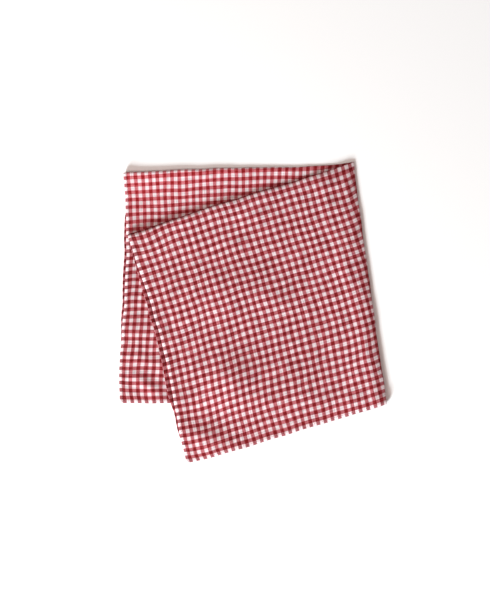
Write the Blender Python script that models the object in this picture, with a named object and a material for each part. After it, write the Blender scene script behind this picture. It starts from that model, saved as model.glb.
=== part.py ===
"""Square gingham scarf, folded in half and then once more along a slanted line.

The cloth is one sheet. The first fold, along the top, makes two leaves. The second
fold, along the right, lays their right half over the left half, turned a little, so
four leaves lie on each other there. Flat places on the cloth are given by u, across
from the left edge of the lower leaves, and by row, from -1 at one hem through 0 on
the first fold to 1 at the other hem. Metres, +Z up, lying on z = 0.
"""

import math

import bpy
import numpy as np

# The cloth: its side, the thickness of the sheet and the step from leaf to leaf
SIDE = 0.560
SHEET = 0.0010
LAYER = 0.0016

# Where the folds cross the flat cloth: the first at its left and right edges, and the
# second at the first fold, halfway and at the hems
FIRST_FOLD_AT = (0.2772, 0.2848)
SECOND_FOLD_AT = (0.278, 0.3022, 0.3138)

# Corners of the back half and of the front half, seen from above
FOLD_TOP = (0.1204, 0.1806)
FOLD_BOTTOM = (0.1598, -0.1094)
BACK_TOP = (-0.1557, 0.1676)
BACK_BOTTOM = (-0.1602, -0.1082)
FRONT_TOP = (-0.1506, 0.0925)
FRONT_BOTTOM = (-0.0799, -0.1805)

# How far each edge strays from straight at a quarter, half and three quarters of its
# length: left edges to the right, top and bottom edges upwards
BACK_LEFT_BOW = (0.0046, 0.0042, 0.0008)
BACK_TOP_BOW = (0.0008, 0.0010, 0.0004)
BACK_BOTTOM_BOW = (-0.0008, -0.0004, 0.0004)
FRONT_LEFT_BOW = (0.0052, 0.0074, 0.0026)
FRONT_TOP_BOW = (0.0010, 0.0010, -0.0004)
FRONT_BOTTOM_BOW = (-0.0024, -0.0016, -0.0012)

# Radius of the soft roll at the first fold, tightest where the two folds cross, and
# how many radii from it the leaf that shows takes to settle
ROLL_AT_CROSSING = LAYER / 2
ROLL_AT_BACK_LEFT = 0.0036
ROLL_AT_FRONT_LEFT = 0.0020
ROLL_SETTLES_IN = 7.0

# Axis of the second fold, midway between the second leaf and the third. The roll
# round it opens towards the hems and ends in a soft crease, whose distance from the
# fold is given at the first fold, halfway and at the hems
SECOND_AXIS = 1.5 * LAYER
SECOND_ROLL_OPENS = 0.0019
CREASE_FROM_FOLD = (0.056, 0.030, 0.019)
CREASE_STEEPNESS = 0.60

# How far the lower leaf of each half slides out to the left of the leaf above it
SLIDE_OF_LOWEST = (
    # share of the way down the edge, distance out
    (0.00, 0.0025),
    (0.25, 0.0026),
    (0.42, 0.0044),
    (0.68, 0.0044),
    (0.80, 0.0022),
    (1.00, 0.0020),
)
SLIDE_OF_THIRD = (
    # share of the way down the edge, distance out
    (0.00, -0.0025),
    (0.12, -0.0020),
    (0.48, 0.0055),
    (0.68, 0.0055),
    (0.80, 0.0008),
    (1.00, -0.0035),
)

# Past the bottom edge of the back, the front half comes down to the surface
BACK_STACK = 2 * LAYER
DROP_STARTS_PAST = 0.0020
DROP_TAKES = 0.0280

# Soft oblong swells of the leaves
SWELLS = (
    # centre x, centre y, half length, half width, degrees, share higher
    (-0.005, -0.096, 0.085, 0.014, 0, 0.22),
    (-0.046, -0.090, 0.024, 0.015, 10, 0.22),
    (-0.068, -0.154, 0.026, 0.014, -70, 0.90),
    (-0.128, -0.082, 0.034, 0.012, -38, 0.60),
    (0.010, 0.042, 0.075, 0.022, 65, 0.16),
    (0.072, -0.018, 0.065, 0.016, 75, 0.20),
    (-0.070, 0.134, 0.060, 0.014, 6, 0.30),
)

# Grid lines of the mesh: their distances from each fold, and the steps beyond them,
# which are even across and get finer towards the hems
LINES_AT_SECOND_FOLD = np.array(
    (0.0, 0.7, 1.4, 2.2, 3.2, 4.4, 6.0, 8.5, 12.0, 17.0, 24.0, 34.0)
) / 1000
LINES_AT_FIRST_FOLD = np.array((0.0, 0.5, 1.0, 1.6, 2.5, 3.7, 5.3, 8.0, 13.0, 21.0)) / 1000
STEPS_ACROSS = 14
STEPS_DOWN = 15
HEM_STEPS_FINER = 1.3

GINGHAM_RED = (0.52, 0.20, 0.22, 1.0)
GINGHAM_ROUGHNESS = 0.85

QUARTER_TURN = math.pi / 2


def ease(x):
    """Goes from 0 to 1 as x does, level at both ends."""
    x = np.clip(x, 0.0, 1.0)
    return x * x * (3.0 - 2.0 * x)


def through(x, values):
    """The polynomial that takes the values at even steps of x from 0 to 1."""
    powers = len(values) - 1
    return np.polyval(np.polyfit(np.linspace(0.0, 1.0, powers + 1), values, powers), x)


def along_table(x, table):
    """Eases from each (place, value) pair of the table to the next."""
    result = np.full_like(x, table[0][1])
    for (place, value), (next_place, next_value) in zip(table, table[1:]):
        result += (next_value - value) * ease((x - place) / (next_place - place))
    return result


def wind(distance, radius):
    """Winds a line half round a circle of this radius, halfway round at distance 0.

    Gives the angle on the circle, from minus to plus a quarter turn, and the length
    that runs on straight beyond the half circle."""
    angle = np.clip(distance / radius, -QUARTER_TURN, QUARTER_TURN)
    straight = np.maximum(np.abs(distance) - radius * QUARTER_TURN, 0.0)
    return angle, straight


def patch(m, n, corners, bows):
    """Plan of one half: m goes from its left edge, 0, to the second fold, 1, and n
    from the first fold, 0, to the hem, 1. Straight between the corners, plus the
    bows of its left, top and bottom edges, each fading towards the edge opposite."""
    top_left, top_right, bottom_left, bottom_right = corners
    left, top, bottom = (np.array((0.0, *bow, 0.0)) for bow in bows)
    x, y = (
        (1 - n) * ((1 - m) * top_left[axis] + m * top_right[axis])
        + n * ((1 - m) * bottom_left[axis] + m * bottom_right[axis])
        for axis in (0, 1)
    )
    x = x + (1 - m) * through(n, left)
    y = y + (1 - n) * through(m, top) + n * through(m, bottom)
    return x, y


def swell(x, y):
    """Sum of the soft oblong bumps, as a share of the height."""
    total = np.zeros_like(x)
    for centre_x, centre_y, length, width, degrees, height in SWELLS:
        turn = math.radians(degrees)
        along = (x - centre_x) * math.cos(turn) + (y - centre_y) * math.sin(turn)
        beside = (y - centre_y) * math.cos(turn) - (x - centre_x) * math.sin(turn)
        total += height * np.exp(-((along / length) ** 2) - (beside / width) ** 2)
    return total


def second_fold_at(row):
    """u of the second fold on each row."""
    return through(np.abs(row), SECOND_FOLD_AT)


def round_first_fold(u, row, m, in_front):
    """Winds the sheet half round a roll whose radius grows away from the crossing.

    Gives the share of the way down to the hem, the share of the way up from the lower
    leaf of the pair to the upper one, and the loft of the leaf that shows."""
    first_fold = FIRST_FOLD_AT[0] + (FIRST_FOLD_AT[1] - FIRST_FOLD_AT[0]) * u / SIDE
    distance = row * np.where(row < 0, first_fold, SIDE - first_fold)
    widest = np.where(in_front, ROLL_AT_FRONT_LEFT, ROLL_AT_BACK_LEFT)
    radius = ROLL_AT_CROSSING + (widest - ROLL_AT_CROSSING) * (1 - m)
    angle, straight = wind(distance, radius)
    down = radius * (1 - np.cos(angle)) + straight
    longest = np.maximum(first_fold, SIDE - first_fold)
    n = down / (longest - radius * (QUARTER_TURN - 1))
    upper = (1 + np.sin(angle)) / 2
    shows = np.where(in_front, 1 - upper, upper)
    settled = ease(straight / (ROLL_SETTLES_IN * radius))
    return n, upper, (2 * radius - LAYER) * (1 - settled) * shows


def round_second_fold(past, n, upper, in_front):
    """Winds the pair of leaves half round an axis above them, which rises towards the
    hems, so the lower leaf becomes the top one. The front half closes down again at
    the crease. Gives how far in from the fold's outer edge each place lies, its
    height, and how far the winding alone pulls the leaf that shows."""
    opening = SECOND_ROLL_OPENS * ease(n)
    axis = SECOND_AXIS + opening
    reach = axis - LAYER * upper
    turn, straight = wind(past, reach)
    inward = axis - reach * np.cos(turn) + straight
    crease = through(n, CREASE_FROM_FOLD)
    closed = ease(1 + (inward / crease - 1) / CREASE_STEEPNESS)
    height = axis + reach * np.sin(turn) - 2 * opening * closed * in_front
    reach_that_shows = np.where(in_front, axis, axis - LAYER)
    return inward, height, axis - reach_that_shows * QUARTER_TURN


def folded(u, row):
    """The folded place of each flat place, as an array of x, y, z rows.

    Plan and height are worked out apart. The plan is the patch of the half that the
    place lies in, pulled in at the roll of the second fold. The height is that of its
    leaf and its rolls, less the drop past the back's edge, times its swell.
    """
    fold_u = second_fold_at(row)
    in_front = u > fold_u
    m = np.where(in_front, (SIDE - u) / (SIDE - fold_u), u / fold_u)
    n, upper, loft = round_first_fold(u, row, m, in_front)

    # The second fold slants, so a step across the cloth is a shorter step square to it
    slant = math.atan2(FOLD_BOTTOM[0] - FOLD_TOP[0], FOLD_TOP[1] - FOLD_BOTTOM[1])
    past = (u - fold_u) * math.cos(slant)
    inward, height, pull_that_shows = round_second_fold(past, n, upper, in_front)
    lowest = along_table(n, SLIDE_OF_LOWEST) * (1 - upper)
    third = along_table(n, SLIDE_OF_THIRD) * upper
    pulled = inward - np.abs(past)
    pulled += (1 - m) * (np.where(in_front, third, lowest) - pull_that_shows)

    back = patch(
        m,
        n,
        (BACK_TOP, FOLD_TOP, BACK_BOTTOM, FOLD_BOTTOM),
        (BACK_LEFT_BOW, BACK_TOP_BOW, BACK_BOTTOM_BOW),
    )
    front = patch(
        m,
        n,
        (FRONT_TOP, FOLD_TOP, FRONT_BOTTOM, FOLD_BOTTOM),
        (FRONT_LEFT_BOW, FRONT_TOP_BOW, FRONT_BOTTOM_BOW),
    )
    x = np.where(in_front, front[0], back[0]) - pulled * math.cos(slant)
    y = np.where(in_front, front[1], back[1]) - pulled * math.sin(slant)

    past_edge = BACK_BOTTOM[1] - DROP_STARTS_PAST - y
    drop = BACK_STACK * ease(past_edge / DROP_TAKES) * in_front
    height = (height - drop + loft) * (1 + swell(x, y))
    return np.stack([x, y, height + SHEET / 2], axis=-1)


def grid_lines():
    """u and row of each grid point: lines crowd at the folds and follow them."""
    near = LINES_AT_FIRST_FOLD / (SIDE / 2)
    share = np.linspace(1.0, 0.0, STEPS_DOWN + 1)[1:]
    far = 1 - (1 - near[-1]) * share**HEM_STEPS_FINER
    half = np.concatenate([near, far])
    row = np.concatenate([-half[:0:-1], half])[:, None]
    fold_u = second_fold_at(row)
    near = LINES_AT_SECOND_FOLD
    share = np.linspace(0.0, 1.0, STEPS_ACROSS + 1)[:-1]
    left = share * (fold_u - near[-1])
    right = SIDE - share[::-1] * (SIDE - fold_u - near[-1])
    u = np.concatenate([left, fold_u - near[:0:-1], fold_u + near, right], axis=1)
    return u, np.broadcast_to(row, u.shape)


def make_scarf():
    """One sheet on the folded grid, centred on the origin, given its thickness."""
    u, row = grid_lines()
    points = folded(u, row)
    middle = (points.min(axis=(0, 1)) + points.max(axis=(0, 1))) / 2
    points[..., :2] -= middle[:2]
    rows, columns = u.shape
    index = np.arange(rows * columns).reshape(rows, columns)
    corners = [index[:-1, :-1], index[:-1, 1:], index[1:, 1:], index[1:, :-1]]
    faces = np.stack(corners, axis=-1)
    mesh = bpy.data.meshes.new("scarf")
    mesh.from_pydata(points.reshape(-1, 3).tolist(), [], faces.reshape(-1, 4).tolist())
    mesh.shade_smooth()
    scarf = bpy.data.objects.new("scarf", mesh)
    bpy.context.scene.collection.objects.link(scarf)
    thickness = scarf.modifiers.new("thickness", "SOLIDIFY")
    thickness.thickness = SHEET
    thickness.offset = 0.0
    return scarf


def gingham():
    """Cotton in the mean colour of its white, pink and red checks."""
    material = bpy.data.materials.new("gingham")
    material.use_nodes = True
    cotton = material.node_tree.nodes["Principled BSDF"]
    cotton.inputs["Base Color"].default_value = GINGHAM_RED
    cotton.inputs["Roughness"].default_value = GINGHAM_ROUGHNESS
    cotton.inputs["Metallic"].default_value = 0.0
    return material


for old in list(bpy.data.objects):
    bpy.data.objects.remove(old, do_unlink=True)
make_scarf().data.materials.append(gingham())
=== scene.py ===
import math

import bpy
import numpy as np
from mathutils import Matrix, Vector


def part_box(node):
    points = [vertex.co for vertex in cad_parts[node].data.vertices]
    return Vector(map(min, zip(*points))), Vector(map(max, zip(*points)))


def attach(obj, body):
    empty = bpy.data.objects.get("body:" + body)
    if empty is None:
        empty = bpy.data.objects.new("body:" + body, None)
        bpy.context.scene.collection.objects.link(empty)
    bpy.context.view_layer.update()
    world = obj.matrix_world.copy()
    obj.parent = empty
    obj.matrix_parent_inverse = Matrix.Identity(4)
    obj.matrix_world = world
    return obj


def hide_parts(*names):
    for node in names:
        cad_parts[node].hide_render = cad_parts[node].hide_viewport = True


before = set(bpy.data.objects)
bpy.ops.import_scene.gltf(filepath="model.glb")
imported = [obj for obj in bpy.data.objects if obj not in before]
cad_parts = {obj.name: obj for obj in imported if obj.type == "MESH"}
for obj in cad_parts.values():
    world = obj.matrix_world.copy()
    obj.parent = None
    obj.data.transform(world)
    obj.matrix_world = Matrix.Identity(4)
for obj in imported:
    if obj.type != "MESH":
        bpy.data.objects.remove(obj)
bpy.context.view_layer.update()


# The table, the camera and the light: a plain white table, seen straight from above
# through a long lens. A low soft lamp beyond the scarf's lower left corner throws short
# shadows up and to the right, and a weaker, warmer one stands closer by on the left.

# Sizes are in metres, and a pixel of the photo covers this much of the table
PHOTO_PIXEL = 0.0012
PHOTO_WIDE, PHOTO_HIGH = 490, 598
ORIGIN_IN_PHOTO = (252.6, 312.6)
LENS_MM, SENSOR_MM = 100.0, 36.0

TABLE_SIDE = 12.0
TABLE_WHITE = (0.97, 0.965, 0.96, 1.0)
TABLE_ROUGHNESS = 0.9

LAMP_DISTANCE = 5.0
LAMP_SIDE = 1.15
LAMP_ELEVATION = math.radians(18.0)
LAMP_TO_LEFT = math.radians(31.0)
LAMP_WATTS = 545.0
LAMP_COLOUR = (0.88, 1.0, 1.04)
FILL_DISTANCE = 1.05
FILL_SIDE = 0.35
FILL_ELEVATION = math.radians(42.0)
FILL_TO_LEFT = math.radians(68.0)
FILL_WATTS = 3.9
FILL_COLOUR = (1.0, 0.87, 0.80)
ROOM_LIGHT = 0.395
ROOM_COLOUR = (1.0, 0.82, 0.77, 1.0)


def under_photo(x, y):
    """Where a photo pixel lies on the table: its distance from the origin's own pixel."""
    across = (x - ORIGIN_IN_PHOTO[0]) * PHOTO_PIXEL
    up = (ORIGIN_IN_PHOTO[1] - y) * PHOTO_PIXEL
    return across, up


def make_object(name, data):
    """A new object for this data, in the scene, at the origin and unscaled."""
    made = bpy.data.objects.new(name, data)
    bpy.context.scene.collection.objects.link(made)
    return made


eye = bpy.data.cameras.new("camera")
eye.lens = LENS_MM
eye.sensor_width = SENSOR_MM
camera = make_object("camera", eye)
above = PHOTO_HIGH * PHOTO_PIXEL * LENS_MM / SENSOR_MM
camera.location = (*under_photo(PHOTO_WIDE / 2, PHOTO_HIGH / 2), above)
bpy.context.scene.camera = camera
bpy.context.scene.view_settings.view_transform = "Standard"


def soft_lamp(name, side, watts, colour, distance, elevation, to_left):
    """A square lamp aimed at the origin, at an elevation and turned left from below."""
    glow = bpy.data.lights.new(name, "AREA")
    glow.shape = "SQUARE"
    glow.size = side
    glow.energy = watts
    glow.color = colour
    lamp = make_object(name, glow)
    lamp.location = (
        -distance * math.cos(elevation) * math.sin(to_left),
        -distance * math.cos(elevation) * math.cos(to_left),
        distance * math.sin(elevation),
    )
    lamp.rotation_euler = (math.pi / 2 - elevation, 0.0, -to_left)


soft_lamp(
    "lamp", LAMP_SIDE, LAMP_WATTS, LAMP_COLOUR, LAMP_DISTANCE, LAMP_ELEVATION, LAMP_TO_LEFT
)
soft_lamp(
    "fill", FILL_SIDE, FILL_WATTS, FILL_COLOUR, FILL_DISTANCE, FILL_ELEVATION, FILL_TO_LEFT
)

room = bpy.data.worlds.new("room")
room.use_nodes = True
room.node_tree.nodes["Background"].inputs["Color"].default_value = ROOM_COLOUR
room.node_tree.nodes["Background"].inputs["Strength"].default_value = ROOM_LIGHT
bpy.context.scene.world = room

half_table = TABLE_SIDE / 2
table_top = bpy.data.meshes.new("table")
table_top.from_pydata(
    [
        (-half_table, -half_table, 0.0),
        (half_table, -half_table, 0.0),
        (half_table, half_table, 0.0),
        (-half_table, half_table, 0.0),
    ],
    [],
    [(0, 1, 2, 3)],
)
table = make_object("table", table_top)
paint = bpy.data.materials.new("white_table")
paint.use_nodes = True
finish = paint.node_tree.nodes["Principled BSDF"].inputs
finish["Base Color"].default_value = TABLE_WHITE
finish["Roughness"].default_value = TABLE_ROUGHNESS
table_top.materials.append(paint)


# The cloth: one square of plain-woven cotton gingham with a narrow turned hem, folded in
# half along its top edge and then folded over to the left along its slanted right edge.
# It is loosely folded, so its folds are rolls and its leaves are not quite flat.

# The hem is one check wide. Its first stripe lacks a part that the turn takes, and the
# flap turned onto the inner face is a share of the hem's width. Leaves lie a step apart,
# at levels from 0 for the lowest to the top one's.
SIDE = 0.560
SHEET = 0.00036
HEM_THICK = 0.00072
CHECKS_ACROSS, CHECKS_DOWN = 128.7, 125.0
FIRST_STRIPE_LACKS = 0.15
HEM_WIDE = SIDE / CHECKS_ACROSS
HEM_TURNED = 0.80
LEAF_STEP = 0.0006
TOP_LEVEL = 3

# Flat places on the cloth are given by u, across from the lower leaves' left edge, and by
# row, from -1 at one hem through 0 on the first fold to 1 at the other hem. On each half,
# along goes from 0 at the left edge to 1 at the second fold, and down from 0 at the first
# fold to 1 at the hem.

# Where the folds cross the flat cloth: the first at four even places from its left to
# its right edge, and the second at the first fold, halfway and at the hems
FIRST_FOLD_AT = (0.2766, 0.2811, 0.2840, 0.2856)
SECOND_FOLD_AT = (0.2780, 0.3011, 0.3133)

# Corners of the back half and of the front half, seen from above
FOLD_TOP = (0.1204, 0.1806)
FOLD_BOTTOM = (0.1598, -0.1094)
BACK_TOP = (-0.1557, 0.1676)
BACK_BOTTOM = (-0.1602, -0.1082)
FRONT_TOP = (-0.1506, 0.0932)
FRONT_BOTTOM = (-0.0799, -0.1805)

# How far each edge strays from straight at a quarter, half and three quarters of its
# length: left edges and the fold to the right, top and bottom edges upwards
FOLD_BOW = (-0.0011, -0.0008, -0.0005)
BACK_LEFT_BOW = (0.0046, 0.0042, 0.0002)
BACK_TOP_BOW = (0.0001, -0.0008, -0.0029)
BACK_BOTTOM_BOW = (-0.0008, -0.0004, 0.0004)
FRONT_LEFT_BOW = (0.0052, 0.0074, 0.0034)
FRONT_TOP_BOW = (0.0012, 0.0010, -0.0004)
FRONT_BOTTOM_BOW = (-0.0024, -0.0016, -0.0012)

# How the cloth bends over each fold: its slope in degrees at distances in mm from the
# outermost line, from 180 on the lower leaf through 90 there to 0 on the upper leaf
PRESSED_BEND = ((-0.47, 180), (0.0, 90), (0.47, 0))
BACK_LEFT_BEND = ((-3.3, 180), (0.0, 90), (3.3, 0))
FRONT_HEM_BEND = (
    (-1.1, 180),
    (0.0, 90),
    (0.4, 10),
    (1.1, 8),
    (1.4, 82),
    (4.5, 82),
    (5.3, 12),
    (7.0, 0),
)
FRONT_MIDDLE_BEND = ((-1.1, 180), (0.0, 90), (0.5, 72), (2.4, 70), (3.4, 10), (5.5, 0))
SECOND_FOLD_BENDS = (
    # share of the way down, bend
    (0.0, ((-1.2, 180), (0.0, 90), (0.7, 14), (6.0, 9), (11.0, 0))),
    (0.06, ((-1.4, 180), (0.0, 90), (0.9, 24), (7.0, 19), (12.0, 0))),
    (0.2, ((-1.6, 180), (0.0, 90), (1.0, 17), (14.0, 0))),
    (1.0, ((-3.2, 180), (0.0, 90), (1.3, 16), (13.0, 0))),
)

# At the first fold, the hem of the front stands up in a lip that fades out between two
# shares of the way along. From the roll, each half comes down again over a distance,
# which is a little more at the left edge and less towards the second fold.
FRONT_LIP_RUNS = (0.15, 0.34)
FRONT_SETTLES_FROM = 0.007
FRONT_SETTLES_IN = 0.060
BACK_SETTLES_IN = 0.041
SETTLES_AT_EDGE = 1.15

# The front has come down from the second fold at these distances from it, at its top,
# middle and bottom, and does so over this last share of the way
FLANK_ENDS_AT = (0.085, 0.075, 0.052)
FLANK_SHARE = 0.78

# A pressed crease runs down the front half along one warp stripe
CREASE_AT_U = 0.3285
CREASE_RISES = 0.0009
CREASE_WIDE = 0.0036
CREASE_FADES_IN = 0.020

# How far the lower leaf of each half slides out to the left of the leaf above it
SLIDE_OF_LOWEST = (
    # share of the way down the edge, distance out
    (0.00, -0.0008),
    (0.12, -0.0006),
    (0.22, 0.0034),
    (0.32, 0.0040),
    (0.45, 0.0042),
    (0.58, 0.0038),
    (0.70, 0.0022),
    (0.79, -0.0004),
    (1.00, -0.0006),
)
SLIDE_OF_THIRD = (
    # share of the way down the edge, distance out
    (0.00, -0.0012),
    (0.08, 0.0010),
    (0.30, 0.0040),
    (0.50, 0.0043),
    (0.66, 0.0052),
    (0.82, 0.0012),
    (1.00, -0.0035),
)

# From a little above the bottom edge of the back to well below it, the front half comes
# down to the table by the height of the back's two leaves
BACK_STACK = 2 * LEAF_STEP
DROP_STARTS_ABOVE = 0.0080
DROP_TAKES = 0.0400

# The doubled hems of the back half push up a soft ridge across the front half
HEM_BELOW_RISES = 0.0007
HEM_BELOW_UP = 0.0030
HEM_BELOW_REACH = 0.0100

# Soft ridges and hollows of the cloth, as they lie in the photo, in photo pixels
FRONT_SWELLS = (
    # centre x, y, half length, half width, degrees, height in mm
    (227, 379, 21, 19, -4, 4.3),
    (236, 365, 24, 15, 0, 0.9),
    (203, 409, 18, 9, 8, -0.8),
    (292, 386, 38, 17, 4, 0.8),
    (201, 437, 27, 13, -12, 3.2),
    (300, 228, 36, 44, 75, 1.5),
    (240, 293, 42, 25, 10, 2.2),
    (163, 279, 12, 10, 0, 0.9),
    (318, 356, 26, 12, 90, -0.4),
    (366, 352, 34, 12, 80, 0.5),
    (255, 424, 12, 6, 75, 0.5),
    (291, 417, 13, 8, 60, 0.4),
    (330, 262, 22, 8, 75, -0.4),
)
BACK_SWELLS = (
    # centre x, y, half length, half width, degrees, height in mm
    (128, 272, 34, 8.0, 86, 1.3),
    (146, 384, 18, 5.0, -38, 2.1),
    (141, 360, 23, 6.0, -9, 1.2),
    (134, 330, 16, 9.0, -6, 1.2),
)

# Small pulls that slide the cloth along its own plane, free of its folds and hems
FRONT_PULLS = (
    # centre x, y, reach, moved right and down, in photo pixels
    (338, 325, 34, 1.9, -0.6),
    (345, 190, 30, -0.7, 1.9),
    (205, 445, 24, -0.6, 1.4),
    (203, 408, 20, 0.0, 1.4),
    (262, 402, 28, -1.6, 0.2),
    (250, 360, 24, 0.7, -0.4),
    (240, 320, 50, -0.5, -1.4),
    (145, 243, 16, 0.8, 1.6),
    (150, 262, 22, 0.7, 0.0),
    (235, 252, 26, -1.0, 0.0),
    (215, 226, 24, 0.6, -0.8),
    (376, 356, 20, -1.1, 1.2),
    (357, 235, 16, -0.4, 0.8),
    (320, 225, 20, -0.9, 1.0),
)
BACK_PULLS = (
    # centre x, y, reach, moved right and down, in photo pixels
    (135, 385, 24, -1.2, 0.4),
    (130, 280, 26, 0.0, -1.0),
    (180, 180, 24, 0.3, 1.1),
    (308, 172, 14, 0.5, 1.0),
)
PULLS_FADE_IN = 0.010

# Slight unevenness all over: waves in random directions and of random lengths, which lift
# the cloth and let it wander sideways
WAVE_COUNT = 26
WAVE_LENGTHS = (0.020, 0.070)
WAVE_HEIGHT = 0.00007
WAVE_WANDER = 0.00022

# Along the edges the sewing puckers the cloth, and the hems of two leaves stand apart
PUCKER_LENGTH = 0.013
PUCKER_HEIGHT = 0.00012
PUCKER_REACH = 0.010
HEM_PARTS = 0.0005
HEM_PARTS_WITHIN = 0.011


def ease(x):
    """Goes from 0 to 1 as x does, level at both ends: 3 x squared less 2 x cubed."""
    x = np.clip(x, 0.0, 1.0)
    return x * x * (3.0 - 2.0 * x)


def ease_out(x):
    """Goes from 0 to 1 as x does, steepest at 0 and level at 1: 3/2 x less half x cubed."""
    x = np.clip(x, 0.0, 1.0)
    return x * (1.5 - 0.5 * x * x)


def through(x, values):
    """The polynomial that takes the values at even steps of x from 0 to 1."""
    powers = len(values) - 1
    return np.polyval(np.polyfit(np.linspace(0.0, 1.0, powers + 1), values, powers), x)


def along_table(x, table):
    """Eases from each (place, value) pair of the table to the next."""
    result = np.full_like(x, table[0][1])
    for (place, value), (next_place, next_value) in zip(table, table[1:]):
        result += (next_value - value) * ease((x - place) / (next_place - place))
    return result


def patch(along, down, corners, bows):
    """Plan of one half: straight between its corners, plus the bows of its left, top,
    bottom and right edges, each fading in proportion to the distance from its edge."""
    top_left, top_right, bottom_left, bottom_right = corners
    left, top, bottom, right = ((0.0, *bow, 0.0) for bow in (*bows, FOLD_BOW))
    x, y = (
        (1 - down) * ((1 - along) * top_left[axis] + along * top_right[axis])
        + down * ((1 - along) * bottom_left[axis] + along * bottom_right[axis])
        for axis in (0, 1)
    )
    x = x + (1 - along) * through(down, left) + along * through(down, right)
    y = y + (1 - down) * through(along, top) + down * through(along, bottom)
    return x, y


def swells(x, y, table):
    """Sum of oblong bumps: height times e to minus the squares of the distances along
    and beside each bump's middle, over its half length and half width."""
    total = np.zeros_like(x)
    for photo_x, photo_y, long, wide, degrees, height in table:
        middle_x, middle_y = under_photo(photo_x, photo_y)
        turn = math.radians(degrees)
        lengthwise = (x - middle_x) * math.cos(turn) + (y - middle_y) * math.sin(turn)
        sideways = (y - middle_y) * math.cos(turn) - (x - middle_x) * math.sin(turn)
        squares = (lengthwise / (long * PHOTO_PIXEL)) ** 2 + (sideways / (wide * PHOTO_PIXEL)) ** 2
        total += height / 1000 * np.exp(-squares)
    return total


def pulls(x, y, table):
    """Sum of small slides in plan: each times e to minus the square of the distance from
    its middle over its reach."""
    right, up = np.zeros_like(x), np.zeros_like(x)
    for photo_x, photo_y, reach, moved_right, moved_down in table:
        middle_x, middle_y = under_photo(photo_x, photo_y)
        square = ((x - middle_x) ** 2 + (y - middle_y) ** 2) / (reach * PHOTO_PIXEL) ** 2
        right += moved_right * PHOTO_PIXEL * np.exp(-square)
        up -= moved_down * PHOTO_PIXEL * np.exp(-square)
    return right, up


def waves(x, y, seed):
    """Sum of sine waves over the plan, of about 1 in all, the same ones for each seed.
    Each wave has a random heading, length and phase."""
    random = np.random.default_rng(seed)
    total = np.zeros_like(x)
    for _ in range(WAVE_COUNT):
        heading = random.uniform(0.0, 2 * math.pi)
        length = random.uniform(*WAVE_LENGTHS)
        phase = random.uniform(0.0, 2 * math.pi)
        run = x * math.cos(heading) + y * math.sin(heading)
        total += np.sin(2 * math.pi * run / length + phase)
    return total / math.sqrt(WAVE_COUNT / 2)


def first_fold_at(u):
    """Distance of the first fold from the first hem, straight across the flat cloth."""
    return through(u / SIDE, FIRST_FOLD_AT)


def second_fold_at(row):
    """u of the second fold on each row."""
    return through(np.abs(row), SECOND_FOLD_AT)


def from_edge(u, row):
    """Distance on the flat cloth from the nearest of its four edges."""
    return np.minimum(np.minimum(u, SIDE - u), (1 - np.abs(row)) * SIDE / 2)


# Each bend is worked out in small steps between these distances from its outermost line
BEND_FROM, BEND_TO, BEND_STEP = -0.008, 0.018, 0.000025
BEND_RUN = np.arange(BEND_FROM, BEND_TO, BEND_STEP)


def cross_section(bend):
    """A line that bends over a fold. Its slope goes straight from each (distance in mm,
    degrees) pair of the bend to the next, and its place, inward from the outermost line
    and up from the lower leaf, is the running sum of the slope's cosine and sine."""
    slope = np.radians(np.interp(BEND_RUN * 1000, *np.array(bend).T))
    inward = np.cumsum(np.cos(slope)) * BEND_STEP
    rise = np.cumsum(np.sin(slope)) * BEND_STEP
    return inward - np.interp(0.0, BEND_RUN, inward), rise, slope


def lofted(distance, bends, shares):
    """Inward distance, rise and slope of places at a distance along the cloth from the
    outermost line: the sum of each bend's own values times its share. Farther off than
    the bends are worked out, the cloth goes straight on."""
    distance = np.broadcast_to(distance, np.broadcast(distance, *shares).shape)
    beyond = np.maximum(distance - BEND_RUN[-1], BEND_RUN[0] - distance)
    totals = [np.maximum(beyond, 0.0), 0.0, 0.0]
    for bend, share in zip(bends, shares):
        for number, values in enumerate(cross_section(bend)):
            totals[number] = totals[number] + share * np.interp(distance, BEND_RUN, values)
    return totals


def over_first_fold(u, row, along, in_front):
    """The two leaves of each half where the cloth bends over the first fold, which is
    open at the left hem and pressed at the second fold. Gives the share of the way down
    to the hem, how far tucked in the place is, from 0 on the outer leaf to 1 on the
    inner one, and how far it stands above its level, which eases off past the roll."""
    fold = first_fold_at(u)
    distance = row * np.where(row < 0, fold, SIDE - fold)
    upward = np.where(in_front, -distance, distance)
    lip = np.interp(along, FRONT_LIP_RUNS, (1.0, 0.0))
    middle = np.minimum(1 - lip, (1 - along) / (1 - FRONT_LIP_RUNS[1]))
    bends = (BACK_LEFT_BEND, FRONT_HEM_BEND, FRONT_MIDDLE_BEND, PRESSED_BEND)
    shares = (
        np.where(in_front, 0.0, 1 - along),
        np.where(in_front, lip, 0.0),
        np.where(in_front, middle, 0.0),
        np.where(in_front, 1 - lip - middle, along),
    )
    inward, rise, slope = lofted(upward, bends, shares)
    farthest, top, _ = lofted(np.maximum(fold, SIDE - fold), bends, shares)
    turned = (1 + np.cos(slope)) / 2
    loft = rise - LEAF_STEP * turned
    settles_in = np.where(in_front, FRONT_SETTLES_IN, BACK_SETTLES_IN)
    settles_in *= SETTLES_AT_EDGE - along
    settled = (upward - np.where(in_front, FRONT_SETTLES_FROM, 0.0)) / settles_in
    loft -= (top - LEAF_STEP) * ease_out(settled)
    return inward / farthest, np.where(in_front, 1 - turned, turned), loft


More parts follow.
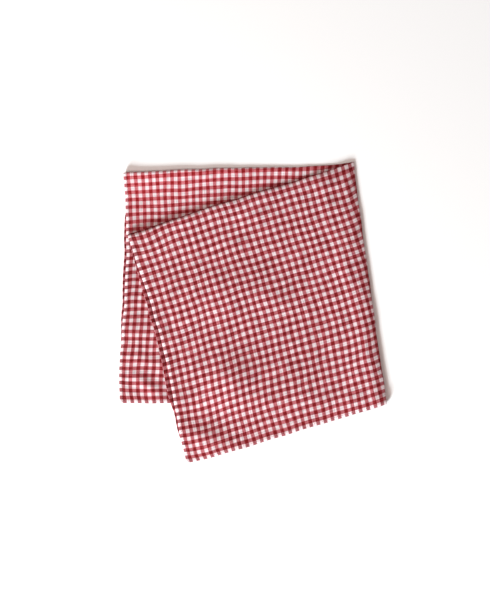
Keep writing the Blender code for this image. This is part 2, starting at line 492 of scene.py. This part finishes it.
def over_second_fold(past, down, tucked, in_front):
    """The leaves bent over the second fold, so that the lowest becomes the top one, with
    the inner pair one step inside the outer. Gives how far in from the outermost line
    each place lies, its height, its level in the stack, from 0 to TOP_LEVEL, and how
    far the bend pulls in the leaf that shows."""
    knots, bends = zip(*SECOND_FOLD_BENDS)
    shares = [np.interp(down, knots, only_one) for only_one in np.eye(len(knots))]
    quarter = sum(share * -bend[0][0] / 1000 for share, bend in zip(shares, bends))
    radius = quarter / (math.pi / 2)
    inside = LEAF_STEP * tucked
    around = np.minimum(np.abs(past) * inside / (radius - inside), inside * math.pi / 2)
    inward, rise, slope = lofted(past + np.sign(past) * around, bends, shares)
    far_front, top, _ = lofted(BEND_TO, bends, shares)
    far_back = lofted(BEND_FROM, bends, shares)[0]
    inward = inward + inside * np.sin(slope)
    closed = ease(1 + (inward / through(down, FLANK_ENDS_AT) - 1) / FLANK_SHARE)
    too_high = (top - TOP_LEVEL * LEAF_STEP) * closed * in_front
    height = rise - too_high - inside * np.cos(slope)
    level = TOP_LEVEL / 2 + (TOP_LEVEL / 2 - tucked) * np.cos(slope)
    back_pull = far_back + BEND_FROM + LEAF_STEP * math.pi / 2
    return inward, height, level, np.where(in_front, far_front - BEND_TO, back_pull)


def plan(along, down, in_front):
    """The plan of both halves before the folds pull at it."""
    back = patch(
        along,
        down,
        (BACK_TOP, FOLD_TOP, BACK_BOTTOM, FOLD_BOTTOM),
        (BACK_LEFT_BOW, BACK_TOP_BOW, BACK_BOTTOM_BOW),
    )
    front = patch(
        along,
        down,
        (FRONT_TOP, FOLD_TOP, FRONT_BOTTOM, FOLD_BOTTOM),
        (FRONT_LEFT_BOW, FRONT_TOP_BOW, FRONT_BOTTOM_BOW),
    )
    return np.where(in_front, front[0], back[0]), np.where(in_front, front[1], back[1])


def pressed_crease(u, in_front):
    """A step up towards the second fold at one warp stripe, which then fades out."""
    past_crease = CREASE_AT_U - u
    step = ease(0.5 + past_crease / CREASE_WIDE)
    fading = np.exp(-np.maximum(past_crease, 0.0) / CREASE_FADES_IN)
    return CREASE_RISES * step * fading * in_front


def folded(u, row):
    """The folded place of each flat place, as an array of x, y, z rows, for the middle
    of a sheet with no thickness. Plan and height are worked out apart: the plan from
    the half's patch, the bends, the slides and the pulls, and the height from the
    leaf's level, the bends, the drop, the crease, the swells, the hems and the waves."""
    fold_u = second_fold_at(row)
    in_front = u > fold_u
    along = np.where(in_front, (SIDE - u) / (SIDE - fold_u), u / fold_u)
    down, tucked, loft = over_first_fold(u, row, along, in_front)

    slant = math.atan2(FOLD_BOTTOM[0] - FOLD_TOP[0], FOLD_TOP[1] - FOLD_BOTTOM[1])
    past = (u - fold_u) * math.cos(slant)
    inward, height, level, pull_that_shows = over_second_fold(past, down, tucked, in_front)
    lowest = along_table(down, SLIDE_OF_LOWEST) * (1 - tucked)
    third = along_table(down, SLIDE_OF_THIRD) * tucked
    pulled = inward - np.abs(past)
    pulled += (1 - along) * (np.where(in_front, third, lowest) - pull_that_shows)
    x, y = plan(along, down, in_front)
    x = x - pulled * math.cos(slant)
    y = y - pulled * math.sin(slant)

    over_lowest = np.clip(level, 0.0, 1.0)
    over_back = np.clip(level - 1, 0.0, 1.0)
    over_second = np.clip((level - 1) / 2, 0.0, 1.0)
    drop = BACK_STACK * ease((BACK_BOTTOM[1] + DROP_STARTS_ABOVE - y) / DROP_TAKES) * in_front
    height = height + loft - drop + pressed_crease(u, in_front)
    height += over_lowest * (swells(x, y, BACK_SWELLS) + WAVE_HEIGHT * (1 + waves(x, y, 1)))
    # A ridge lifts only the front's leaves, and a hollow also presses down the leaf below
    front_swell = swells(x, y, FRONT_SWELLS)
    height += np.where(front_swell > 0, over_second, level / TOP_LEVEL) * front_swell
    height += over_second * WAVE_HEIGHT * (1 + waves(x, y, 2))
    over_hem = (y - BACK_BOTTOM[1] - HEM_BELOW_UP) / HEM_BELOW_REACH
    height += HEM_BELOW_RISES * np.exp(-over_hem ** 2) * over_back

    edge = from_edge(u, row)
    apart = 1 - ease((edge - HEM_WIDE) / HEM_PARTS_WITHIN)
    height += HEM_PARTS * apart * np.where(in_front, 1 - tucked, tucked)
    along_edge = (u + row * SIDE / 2) / PUCKER_LENGTH
    pucker = PUCKER_HEIGHT * (1 + np.sin(2 * math.pi * along_edge))
    height += over_lowest * np.exp(-edge / PUCKER_REACH) * pucker

    from_fold = np.abs(row) * SIDE / 2
    free = ease(np.minimum(np.minimum(from_fold, np.abs(past)), edge) / PULLS_FADE_IN)
    front, back = free * over_back, free * (over_lowest - over_back)
    front_x, front_y = pulls(x, y, FRONT_PULLS)
    back_x, back_y = pulls(x, y, BACK_PULLS)
    x = x + front * front_x + back * back_x + WAVE_WANDER * waves(u, from_fold, 3)
    y = y + front * front_y + back * back_y + WAVE_WANDER * waves(u, from_fold, 4)
    return np.stack([x, y, height], axis=-1)


# Grid lines along the hem, as shares of its width. Its flap takes up the first strips
# between them, its step down takes one more, and its rim rounds off within the first two.
HEM_LINES = np.array((0.0, 0.12, 0.45, 0.77, HEM_TURNED, 0.83, 0.86)) * HEM_WIDE
FLAP_STRIPS = 4
RIM_THINS_WITHIN = HEM_LINES[2]
RIM_THINS_TO = 0.45
RIM_SHOWS_FROM = 0.1 * HEM_WIDE

# Grid lines beside each fold, in mm from it, and even steps between them and the hems
LINES_AT_SECOND_FOLD = np.array(
    (0.0, 0.25, 0.5, 0.8, 1.1, 1.5, 2.0, 2.6, 3.3, 4.2, 5.4, 7.0, 9.0, 11.4, 14.2)
) / 1000
LINES_AT_FIRST_FOLD = np.array(
    (0.0, 0.16, 0.32, 0.5, 0.8, 1.2, 1.6, 2.1, 2.7, 3.4, 4.2, 5.1, 6.1, 7.3, 9.0, 11.2)
) / 1000
STEPS_ACROSS = 78
STEPS_DOWN = 76


def grid_lines():
    """u and row of each grid point: lines at the hems, even steps, and lines that crowd
    at the folds and follow them."""
    near = LINES_AT_FIRST_FOLD / (SIDE / 2)
    hem = 1 - HEM_LINES[::-1] / (SIDE / 2)
    even = np.linspace(near[-1], hem[0], STEPS_DOWN + 1)[1:-1]
    half = np.concatenate([near, even, hem])
    row = np.concatenate([-half[:0:-1], half])[:, None]

    fold_u = second_fold_at(row)
    every_row = np.ones_like(fold_u)
    near = LINES_AT_SECOND_FOLD
    share = np.linspace(0.0, 1.0, STEPS_ACROSS + 1)[1:-1]
    hem_end = HEM_LINES[-1]
    left = hem_end + share * (fold_u - near[-1] - hem_end)
    right = SIDE - hem_end - share[::-1] * (SIDE - fold_u - near[-1] - hem_end)
    columns = [every_row * HEM_LINES, left, fold_u - near[:0:-1], fold_u + near, right]
    columns.append(SIDE - every_row * HEM_LINES[::-1])
    u = np.concatenate(columns, axis=1)
    return u, np.broadcast_to(row, u.shape)


def flat_places(u, row):
    """Flat places on the cloth in metres: u, and the distance from the first hem."""
    fold = first_fold_at(u)
    return np.stack([u, fold + row * np.where(row < 0, fold, SIDE - fold)], axis=-1)


def unit(vectors):
    """The same vectors at a length of 1."""
    return vectors / np.linalg.norm(vectors, axis=-1, keepdims=True)


def two_faces(u, row):
    """Both faces of the cloth: its middle moved half a thickness each way along the
    cross product of its two directions. The inner face has the turned hem on it, one
    thickness deeper within the flap, and both draw together at the rim."""
    middle = folded(u, row)
    inner_way = unit(np.cross(np.gradient(middle, axis=1), np.gradient(middle, axis=0)))
    edge = from_edge(u, row)[..., None]
    rounded = RIM_THINS_TO + (1 - RIM_THINS_TO) * ease_out(edge / RIM_THINS_WITHIN)
    in_flap = edge < (HEM_LINES[FLAP_STRIPS] + HEM_LINES[FLAP_STRIPS + 1]) / 2
    flap = (HEM_THICK - SHEET) * in_flap
    inner = middle + inner_way * (SHEET / 2 + flap) * rounded
    outer = middle - inner_way * SHEET / 2 * rounded
    for side in (inner, outer):
        side[..., 2] = np.maximum(side[..., 2] + SHEET / 2, 0.0)
    return inner, outer


def closed_sheet(inner, outer):
    """Corner numbers: one side's grid of faces, then all the faces, which are that grid,
    the outer side's wound the other way and the rim between them, and then the outline."""
    rows, columns = inner.shape[:2]
    index = np.arange(rows * columns).reshape(rows, columns)
    corners = [index[:-1, :-1], index[:-1, 1:], index[1:, 1:], index[1:, :-1]]
    grid = np.stack(corners, axis=-1).reshape(-1, 4)
    outline = [index[0, :-1], index[:-1, -1], index[-1, :0:-1], index[:0:-1, 0]]
    here = np.concatenate(outline)
    there = np.roll(here, -1)
    rim = np.stack([there, here, here + index.size, there + index.size], axis=-1)
    return grid, np.concatenate([grid, grid[:, ::-1] + index.size, rim]), here


def sheet_pattern(u, row, grid, rim_corners):
    """Flat place of each face corner, as shares of SIDE. On the inner face, the turned hem
    shows the cloth from beyond the fold of its edge, so its places are mirrored there.
    The rim shows the stripes just inside it."""
    flat = flat_places(u, row)
    rows, columns = u.shape
    plain = flat.reshape(-1, 2)[grid]
    turned = plain.reshape(rows - 1, columns - 1, 4, 2).copy()
    hidden = FIRST_STRIPE_LACKS * HEM_WIDE
    turned[:, :FLAP_STRIPS, :, 0] = -hidden - turned[:, :FLAP_STRIPS, :, 0]
    turned[:, -FLAP_STRIPS:, :, 0] = 2 * SIDE + hidden - turned[:, -FLAP_STRIPS:, :, 0]
    turned[:FLAP_STRIPS, :, :, 1] *= -1
    turned[-FLAP_STRIPS:, :, :, 1] = 2 * SIDE - turned[-FLAP_STRIPS:, :, :, 1]
    just_inside = np.clip(flat.reshape(-1, 2), RIM_SHOWS_FROM, SIDE - RIM_SHOWS_FROM)
    here = just_inside[rim_corners]
    there = np.roll(here, -1, axis=0)
    rim = np.stack([there, here, here, there], axis=1)
    parts = [turned.reshape(-1, 2), plain[:, ::-1].reshape(-1, 2), rim.reshape(-1, 2)]
    return np.concatenate(parts) / SIDE


u, row = grid_lines()
inner, outer = two_faces(u, row)
grid, faces, rim_corners = closed_sheet(inner, outer)
points = np.concatenate([inner.reshape(-1, 3), outer.reshape(-1, 3)])

# The cloth is moved in plan, so that its box and the solid's have the same middle
low, high = np.array(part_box("scarf"))
off_centre = (low + high - points.min(axis=0) - points.max(axis=0)) / 2
onto_solid = off_centre * (1.0, 1.0, 0.0)

sheet = bpy.data.meshes.new("gingham_cloth")
sheet.from_pydata((points + onto_solid).tolist(), [], faces.tolist())
flat_cloth = sheet.uv_layers.new(name="flat_cloth")
flat_cloth.data.foreach_set("uv", sheet_pattern(u, row, grid, rim_corners).ravel())
sheet.shade_smooth()
cloth = make_object("gingham_cloth", sheet)


class Shade:
    """One socket of a material. Arithmetic on it adds Math nodes, and node adds any
    other kind: its settings are set first, and then its sockets' values or links."""

    def __init__(self, tree, socket=None):
        self.tree = tree
        self.socket = socket

    def node(self, kind, settings=None, sockets=None, output=0):
        made = self.tree.nodes.new(kind)
        for name, value in (settings or {}).items():
            if name == "stops":
                while len(made.color_ramp.elements) < len(value):
                    made.color_ramp.elements.new(1.0)
                for stop, (place, colour) in zip(made.color_ramp.elements, value):
                    stop.position = place
                    stop.color = colour
            else:
                setattr(made, name, value)
        for name, value in (sockets or {}).items():
            if isinstance(value, Shade):
                self.tree.links.new(value.socket, made.inputs[name])
            else:
                made.inputs[name].default_value = value
        return Shade(self.tree, made.outputs[output])

    def maths(self, operation, *values):
        sockets = dict(enumerate((self, *values)))
        return self.node("ShaderNodeMath", {"operation": operation}, sockets)

    def __add__(self, other):
        return self.maths("ADD", other)

    def __sub__(self, other):
        return self.maths("SUBTRACT", other)

    def __rsub__(self, other):
        return (self * -1.0).maths("ADD", other)

    def __mul__(self, other):
        return self.maths("MULTIPLY", other)

    __radd__ = __add__
    __rmul__ = __mul__

    def __lt__(self, other):
        return self.maths("LESS_THAN", other)

    def sine(self):
        return self.maths("SINE")

    def clamped(self):
        return self.node("ShaderNodeClamp", sockets={"Value": self})


# The weave: how much more the yarn on top shows and how far it stands out, and how
# steeply one stripe of yarns changes to the next
YARNS_PER_CHECK = 12
YARN_CONTRAST = 0.30
YARN_RELIEF = 0.00005
RELIEF_STRENGTH = 0.35
STRIPE_EDGE = 1.5
GINGHAM_COLOURS = (
    # share of red yarn, colour
    (0.0, (0.705, 0.595, 0.615, 1.0)),
    (0.5, (0.400, 0.088, 0.104, 1.0)),
    (1.0, (0.179, 0.004, 0.006, 1.0)),
)

# The hem's contrast, and the painted light about the first fold, where the colours are
# painted lighter as if the back lay more brightly lit: where down the cloth and how far it
# reaches, both as shares of the side, and how much lighter it makes each colour
HEM_WHITER, HEM_DARKER, HEM_DARKEST_AT = 0.28, 0.9, 0.6
PAINTED_LIGHT_LINE, PAINTED_LIGHT_REACH = 0.50, 0.17
PAINTED_LIGHT_ON_REDS, PAINTED_LIGHT_ON_WHITES = 0.62, 0.10

# Uneven yarns: the size of a streak, how much it changes the shade, and how much the red
STREAK_LONG, STREAK_WIDE = 0.030, 0.0011
STREAK_DEPTH = 0.7
RED_WEAR = 0.35

# The matt finish of plain cotton, in the cloth and in its thread
COTTON_ROUGHNESS = 0.9
COTTON_SHINE = 0.12
COTTON_SHEEN = 0.04


def woven_gingham():
    """Plain-woven cotton. Each yarn is white or red by the sign of a sine of its place,
    with a soft change between, and half the red is the warp's and half the weft's.
    Where they cross, a product of two sines, one of each yarn's count, is positive where
    the warp is on top, and its stripe shows more. Streaks of stretched noise along both
    yarns change the shade and, where the yarns are red, how red they are. The doubled
    hem is lighter where it is white and darker where it is red. About its first fold, most
    at the left side and not at all from the middle on, the colours get painted light: they
    are painted lighter, the reds most, as if that part lay more brightly lit."""
    material = bpy.data.materials.new("woven_gingham")
    material.use_nodes = True
    tree = material.node_tree
    cotton = tree.nodes["Principled BSDF"]
    start = Shade(tree)
    place = start.node("ShaderNodeUVMap", {"uv_map": "flat_cloth"})
    across = start.node("ShaderNodeSeparateXYZ", sockets={"Vector": place}, output="X")
    down = start.node("ShaderNodeSeparateXYZ", sockets={"Vector": place}, output="Y")
    stripe = across * (math.pi * CHECKS_ACROSS) + math.pi * FIRST_STRIPE_LACKS
    red_warp = (0.5 - stripe.sine() * STRIPE_EDGE).clamped()
    red_weft = (0.5 - (down * (math.pi * CHECKS_DOWN)).sine() * STRIPE_EDGE).clamped()
    warp_turn = (across * (math.pi * YARNS_PER_CHECK * CHECKS_ACROSS)).sine()
    weft_turn = (down * (math.pi * YARNS_PER_CHECK * CHECKS_DOWN)).sine()
    warp_on_top = warp_turn * weft_turn

    near_side = across.maths("MINIMUM", 1.0 - across)
    near_hem = down.maths("MINIMUM", 1.0 - down)
    in_hem = near_side.maths("MINIMUM", near_hem) < HEM_WIDE / SIDE
    # Masks of the painted light about the first fold: strongest at the fold line and at the left
    # side
    painted_light_by_fold = (1.0 - (down - PAINTED_LIGHT_LINE).maths("ABSOLUTE") * (1 / PAINTED_LIGHT_REACH)).clamped()
    painted_light_to_side = (1.0 - across * 2.0).clamped()
    warp_share = 0.5 + warp_on_top * (0.5 * YARN_CONTRAST)
    red = red_weft + (red_warp - red_weft) * warp_share

    streaks = []
    for long_way in ((STREAK_WIDE, STREAK_LONG), (STREAK_LONG, STREAK_WIDE)):
        scale = (SIDE / long_way[0], SIDE / long_way[1], 1.0)
        stretched = start.node("ShaderNodeMapping", sockets={"Vector": place, "Scale": scale})
        noise = {"Vector": stretched, "Scale": 1.0, "Detail": 1.0}
        streaks.append(start.node("ShaderNodeTexNoise", {"noise_dimensions": "2D"}, noise))
    streak = streaks[0] + streaks[1] - 1.0
    worn = red * (1.0 - streak * red * RED_WEAR)
    colour = start.node("ShaderNodeValToRGB", {"stops": GINGHAM_COLOURS}, {"Fac": worn})
    shade = streak * STREAK_DEPTH + 1.0
    hem_shade = red.maths("MINIMUM", HEM_DARKEST_AT) * -HEM_DARKER + HEM_WHITER
    shade = shade + in_hem * hem_shade
    # Painted light: about the first fold the colours are painted lighter, the reds most, as if lit
    # more brightly
    shade = shade + painted_light_by_fold * painted_light_to_side * (red * PAINTED_LIGHT_ON_REDS + PAINTED_LIGHT_ON_WHITES)
    lit = {0: colour, "Scale": shade}
    colour = start.node("ShaderNodeVectorMath", {"operation": "SCALE"}, lit)
    tree.links.new(colour.socket, cotton.inputs["Base Color"])

    weave = {"Height": warp_on_top, "Strength": RELIEF_STRENGTH, "Distance": YARN_RELIEF}
    relief = start.node("ShaderNodeBump", sockets=weave)
    tree.links.new(relief.socket, cotton.inputs["Normal"])
    cotton.inputs["Roughness"].default_value = COTTON_ROUGHNESS
    cotton.inputs["Specular IOR Level"].default_value = COTTON_SHINE
    cotton.inputs["Sheen Weight"].default_value = COTTON_SHEEN
    return material


sheet.materials.append(woven_gingham())
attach(cloth, "root")
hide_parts("scarf")


# Stitching of the hem: one row of small machine stitches in a thread that blends with
# the check, a little over halfway in on the turned hem. Here its outer side stands a
# little off the cloth's outer face, and its inner side lies hidden within the hem.

# Each stitch is a row of square rings, given by their place on its half length and their
# share of its radius. The nudge is the step on the flat cloth that finds its directions.
STITCHES_ALONG = 186
STITCH_FROM_EDGE = 0.62 * HEM_WIDE
STITCH_LONG, STITCH_RADIUS = 0.0022, 0.00017
STITCH_RINGS = ((-1.0, 0.35), (0.0, 1.0), (1.0, 0.35))
RING_CORNERS = 4
NUDGE = 0.0002

# The thread: the scale of the noise that shades it, and of the wave that is its twist
THREAD_PATCHES = 140.0
THREAD_COLOURS = (
    # value of the noise, colour
    (0.35, (0.30, 0.085, 0.10, 1.0)),
    (0.65, (0.46, 0.17, 0.19, 1.0)),
)
THREAD_TWIST = 4500.0
THREAD_RELIEF = 0.00004


def stitch_places():
    """u and row of the middle of every stitch, in a straight line along each hem, with
    the way along the hem, which is 1 for u and 0 for the distance down."""
    even = (np.arange(STITCHES_ALONG) + 0.5) / STITCHES_ALONG
    level = np.ones_like(even)
    across, down = even * SIDE, 2 * even - 1
    far_u, far_row = SIDE - STITCH_FROM_EDGE, 1 - 2 * STITCH_FROM_EDGE / SIDE
    u = np.concatenate([across, across, level * STITCH_FROM_EDGE, level * far_u])
    row = np.concatenate([-far_row * level, far_row * level, down, down])
    return u, row, np.repeat((1.0, 1.0, 0.0, 0.0), STITCHES_ALONG)


def stitch_mesh():
    """Points and faces of all stitches. Each is a thread of square rings, thin at both
    ends, laid along the hem at its middle's place, where the cloth's two directions come
    from small steps on the flat cloth. On one side its middle is a sheet's thickness off
    the cloth's outer face, and on the other it is halfway through the turned hem."""
    u, row, along_u = stitch_places()
    middle = folded(u, row)
    step_u, step_row = NUDGE * along_u, 2 * NUDGE / SIDE * (1 - along_u)
    along = unit(folded(u + step_u, row + step_row) - folded(u - step_u, row - step_row))
    side_u, side_row = NUDGE * (1 - along_u), 2 * NUDGE / SIDE * along_u
    beside = unit(folded(u + side_u, row + side_row) - folded(u - side_u, row - side_row))
    handed = np.where(along_u > 0, -1.0, 1.0)[:, None]
    outer_way = unit(np.cross(along, beside) * handed)
    corners = []
    for lift in (HEM_THICK - SHEET / 2, -SHEET / 2):
        for place, share in STITCH_RINGS:
            centre = middle + outer_way * lift + along * (place * STITCH_LONG / 2)
            for turn in range(RING_CORNERS):
                angle = (turn + 0.5) * 2 * math.pi / RING_CORNERS
                out = beside * math.cos(angle) + outer_way * math.sin(angle)
                corners.append(centre + out * (share * STITCH_RADIUS))
    points = np.stack(corners, axis=1).reshape(-1, 3)
    points[:, 2] = np.maximum(points[:, 2] + SHEET / 2, 0.0)

    ring = np.arange(RING_CORNERS)
    onward = np.roll(ring, -1)
    ring_starts = RING_CORNERS * np.arange(len(STITCH_RINGS))
    sides = [
        np.stack([a + ring, a + onward, b + onward, b + ring], axis=1)
        for a, b in zip(ring_starts, ring_starts[1:])
    ]
    one = np.concatenate([*sides, [ring[::-1]], [ring_starts[-1] + ring]])
    stitch_starts = np.arange(0, len(points), RING_CORNERS * len(STITCH_RINGS))
    return points, (stitch_starts[:, None, None] + one).reshape(-1, RING_CORNERS)


def sewing_thread():
    """Fine twisted cotton. Its shade varies with noise, and its twist is a wave bump."""
    material = bpy.data.materials.new("sewing_thread")
    material.use_nodes = True
    tree = material.node_tree
    thread = tree.nodes["Principled BSDF"]
    start = Shade(tree)
    place = start.node("ShaderNodeTexCoord", output="Object")
    noise = {"Vector": place, "Scale": THREAD_PATCHES}
    patches = start.node("ShaderNodeTexNoise", sockets=noise)
    colour = start.node("ShaderNodeValToRGB", {"stops": THREAD_COLOURS}, {"Fac": patches})
    tree.links.new(colour.socket, thread.inputs["Base Color"])
    twist = start.node("ShaderNodeTexWave", sockets={"Vector": place, "Scale": THREAD_TWIST})
    ply = {"Height": twist, "Strength": RELIEF_STRENGTH, "Distance": THREAD_RELIEF}
    relief = start.node("ShaderNodeBump", sockets=ply)
    tree.links.new(relief.socket, thread.inputs["Normal"])
    thread.inputs["Roughness"].default_value = COTTON_ROUGHNESS
    thread.inputs["Specular IOR Level"].default_value = COTTON_SHINE
    return material


stitch_points, stitch_faces = stitch_mesh()
thread_mesh = bpy.data.meshes.new("hem_stitches")
thread_mesh.from_pydata((stitch_points + onto_solid).tolist(), [], stitch_faces.tolist())
thread_mesh.shade_smooth()
thread_mesh.materials.append(sewing_thread())
stitches = make_object("hem_stitches", thread_mesh)
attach(stitches, "root")

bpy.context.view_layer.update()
